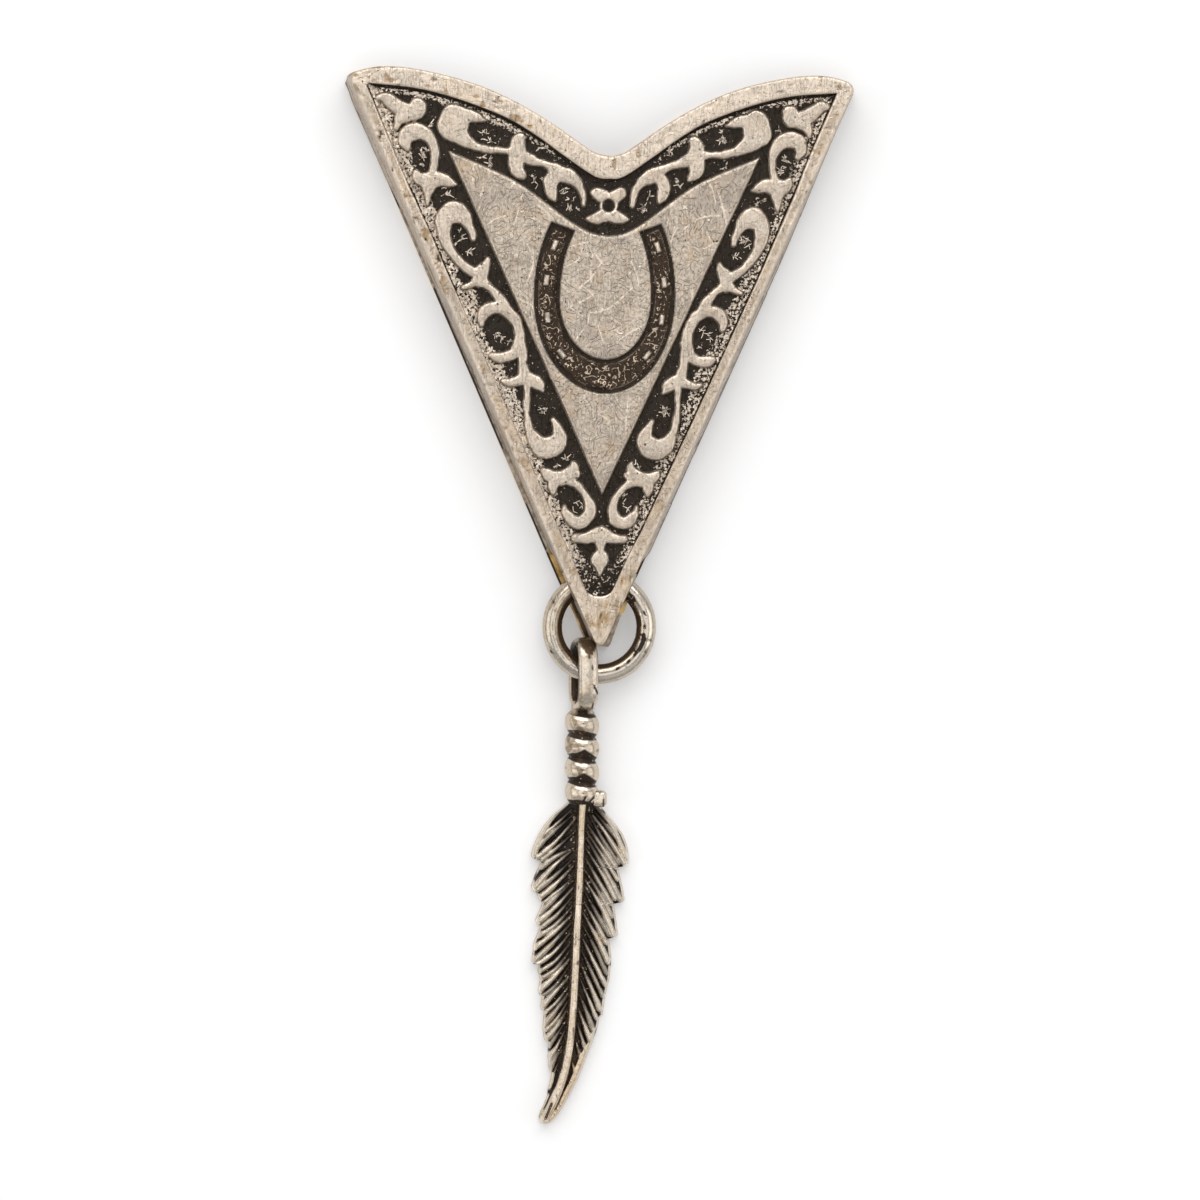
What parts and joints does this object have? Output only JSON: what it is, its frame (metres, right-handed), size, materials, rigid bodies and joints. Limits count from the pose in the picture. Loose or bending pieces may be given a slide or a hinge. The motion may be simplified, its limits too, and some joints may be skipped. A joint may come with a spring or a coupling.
{
  "type": "collar tip",
  "caption": "Pointed western collar tip, hollow and open along its notched edge for a shirt collar's point, with raised scrollwork, a horseshoe, a jump ring and a hanging feather.",
  "frame": {"origin": "on the flat back, on the plate's centre line, behind the middle of the horseshoe", "axes": "+X to the right as the ornamented front is seen with its point down, +Y from the point up to the notched edge, +Z out of the ornamented front; the part lies on its back on Z = 0"},
  "size_m": [0.0357, 0.074, 0.0037],
  "materials": {
    "antique_silver": "antiqued silver plate, worn bright on the raised work and nearly black in the hollows",
    "ring_silver": "polished silver plate with dark streaks",
    "back_brass": "plain dull brass"
  },
  "bodies": {
    "root": {"front_plate": "antique_silver", "back_plate": "back_brass", "jump_ring": "ring_silver", "feather_drop": "antique_silver"}
  },
  "joints": []
}
